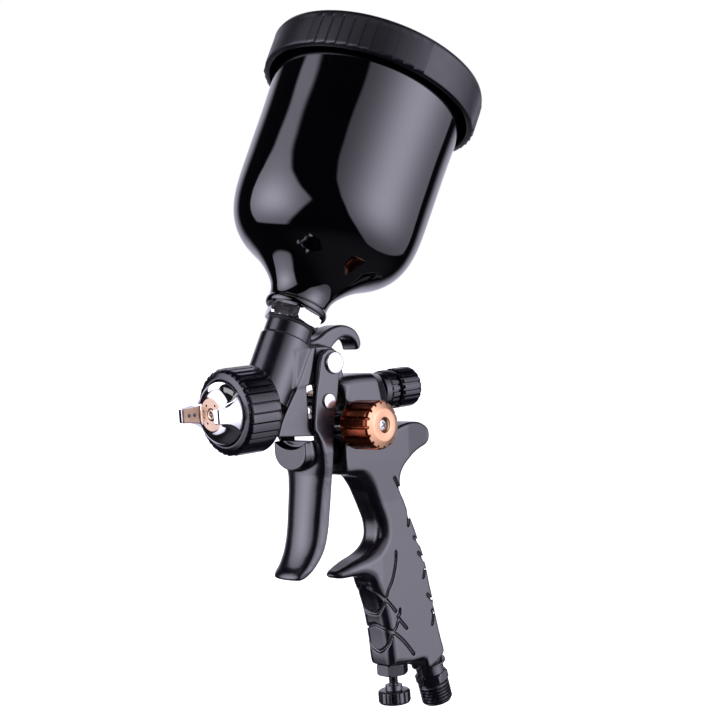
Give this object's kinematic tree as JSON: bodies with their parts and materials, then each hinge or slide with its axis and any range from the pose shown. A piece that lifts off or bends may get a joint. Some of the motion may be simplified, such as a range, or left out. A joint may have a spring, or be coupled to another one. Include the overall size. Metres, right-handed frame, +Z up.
{
  "type": "hvlp spray gun",
  "caption": "Gravity-feed HVLP spray gun: leaning paint cup with screw lid, air cap and ring, two-finger trigger, hooked head, handle with fan, fluid and air controls.",
  "frame": {"origin": "centre of the fluid nozzle orifice", "axes": "-Y is the spray direction and +Y runs along the needle to the rear fluid knob; +Z is up; +X is the gun's left side, where the fan control knob is"},
  "size_m": [0.0912, 0.1466, 0.2918],
  "materials": {
    "casting": "satin black coated die casting",
    "chrome_cap": "polished",
    "black_anodised": "black anodised",
    "brass": "machined",
    "steel": "ground",
    "nickel": "bright nickel plate",
    "seal": "soft",
    "copper_anodised": "copper orange anodised",
    "black_fitting": "black oxide",
    "cup_gloss": "high gloss black",
    "lid_matte": "fine matte black",
    "strainer_plastic": "moulded nylon"
  },
  "bodies": {
    "gun": {"gun_body": "casting", "air_distributor": "strainer_plastic", "fluid_nozzle": "brass", "nozzle_seal": "seal", "needle_packing": "seal", "packing_nut": "black_fitting", "rear_bush": "nickel", "fan_bush": "nickel", "air_valve_nut": "black_fitting", "air_valve_packing": "seal", "air_valve_seat": "black_fitting", "air_inlet_nipple": "black_fitting", "inlet_gasket": "seal", "flow_bush": "black_fitting", "air_valve_spring": "steel", "needle_spring": "steel"},
    "cap_carrier": {"cap_clip": "steel"},
    "ring": {"retaining_ring": "black_anodised"},
    "cap": {"air_cap": "chrome_cap"},
    "needle": {"fluid_needle": "steel", "needle_collar": "brass", "needle_spring_seat": "brass"},
    "rear_seat": {"spring_rear_seat": "steel"},
    "knob_rear": {"fluid_knob": "black_anodised"},
    "lock": {"lock_ring": "black_anodised"},
    "fan_carrier": {"fan_seal": "seal"},
    "fan": {"fan_knob": "copper_anodised", "fan_knob_screw": "nickel", "fan_spindle": "steel"},
    "trigger": {"trigger": "casting", "pivot_pin": "nickel", "pivot_screw": "nickel", "pull_stud_left": "nickel", "pull_stud_right": "nickel", "pivot_washer_left": "steel", "pivot_washer_right": "steel"},
    "valve": {"air_valve_stem": "steel", "air_valve_head": "brass"},
    "flow_carrier": {"flow_seal": "seal"},
    "flow": {"flow_stem": "steel", "flow_knob": "black_fitting"},
    "cup_carrier": {"cup_seal": "seal"},
    "cup": {"cup": "cup_gloss", "cup_adapter_nut": "nickel", "cup_strainer": "strainer_plastic"},
    "lid_carrier": {"lid_gasket": "seal"},
    "lid": {"cup_lid": "lid_matte"},
    "vent": {"vent_plug": "lid_matte"}
  },
  "joints": [
    {"name": "trigger_pull", "type": "hinge", "parent": "gun", "child": "trigger", "pos_m": [0, 0.0528, 0.0148], "axis": [1, 0, 0], "range_deg": [0, 10.4]},
    {"name": "needle_slide", "type": "slide", "parent": "gun", "child": "needle", "axis": [0, 1, 0], "range_m": [0, 0.0033], "deforming": ["needle_spring"]},
    {"name": "valve_slide", "type": "slide", "parent": "gun", "child": "valve", "axis": [0, 1, 0], "range_m": [0, 0.0076], "deforming": ["air_valve_spring"]},
    {"name": "ring_advance", "type": "slide", "parent": "gun", "child": "cap_carrier", "axis": [0, -1, 0], "range_m": [0, 0.0046]},
    {"name": "ring_turn", "type": "hinge", "parent": "cap_carrier", "child": "ring", "pos_m": [0, 0.015, 0], "axis": [0, -1, 0], "range_deg": [0, 1080]},
    {"name": "cap_turn", "type": "hinge", "parent": "cap_carrier", "child": "cap", "pos_m": [0, 0.01, 0], "axis": [0, -1, 0], "range_deg": [-90, 90]},
    {"name": "rear_knob_advance", "type": "slide", "parent": "gun", "child": "rear_seat", "axis": [0, 1, 0], "range_m": [0, 0.0031]},
    {"name": "rear_knob_turn", "type": "hinge", "parent": "rear_seat", "child": "knob_rear", "pos_m": [0, 0.0998, 0], "axis": [0, 1, 0], "range_deg": [0, 1080]},
    {"name": "lock_ring_turn", "type": "hinge", "parent": "gun", "child": "lock", "pos_m": [0, 0.0906, 0], "axis": [0, 1, 0], "range_deg": [0, 60]},
    {"name": "fan_advance", "type": "slide", "parent": "gun", "child": "fan_carrier", "axis": [0.9962, 0.0872, 0], "range_m": [0, 0.0026]},
    {"name": "fan_turn", "type": "hinge", "parent": "fan_carrier", "child": "fan", "pos_m": [0.029, 0.06298, -0.01085], "axis": [0.9962, 0.0872, 0], "range_deg": [0, 900]},
    {"name": "flow_advance", "type": "slide", "parent": "gun", "child": "flow_carrier", "axis": [0, 0, -1], "range_m": [0, 0.0031]},
    {"name": "flow_turn", "type": "hinge", "parent": "flow_carrier", "child": "flow", "pos_m": [0, 0.0844, -0.1], "axis": [0, 0, -1], "range_deg": [0, 1080]},
    {"name": "cup_advance", "type": "slide", "parent": "gun", "child": "cup_carrier", "axis": [0, 0.5, 0.866], "range_m": [0, 0.0091]},
    {"name": "cup_turn", "type": "hinge", "parent": "cup_carrier", "child": "cup", "pos_m": [0, 0.04265, 0.03031], "axis": [0, 0.5, 0.866], "range_deg": [0, 2160]},
    {"name": "lid_advance", "type": "slide", "parent": "cup", "child": "lid_carrier", "axis": [0, 0.5, 0.866], "range_m": [0, 0.0031]},
    {"name": "lid_turn", "type": "hinge", "parent": "lid_carrier", "child": "lid", "pos_m": [0, 0.09765, 0.12557], "axis": [0, 0.5, 0.866], "range_deg": [0, 540]},
    {"name": "vent_pull", "type": "slide", "parent": "lid", "child": "vent", "axis": [0, 0.5, 0.866], "range_m": [0, 0.006]}
  ],
  "couplings": [
    {"joint": "needle_slide", "follows": "trigger_pull", "m_per_rad": 0.0152},
    {"joint": "valve_slide", "follows": "trigger_pull", "m_per_rad": 0.0356},
    {"joint": "ring_advance", "follows": "ring_turn", "m_per_rad": 0.00023873},
    {"joint": "rear_knob_advance", "follows": "rear_knob_turn", "m_per_rad": 0.00015915},
    {"joint": "fan_advance", "follows": "fan_turn", "m_per_rad": 0.00015915},
    {"joint": "flow_advance", "follows": "flow_turn", "m_per_rad": 0.00015915},
    {"joint": "cup_advance", "follows": "cup_turn", "m_per_rad": 0.00023873},
    {"joint": "lid_advance", "follows": "lid_turn", "m_per_rad": 0.00031831}
  ]
}
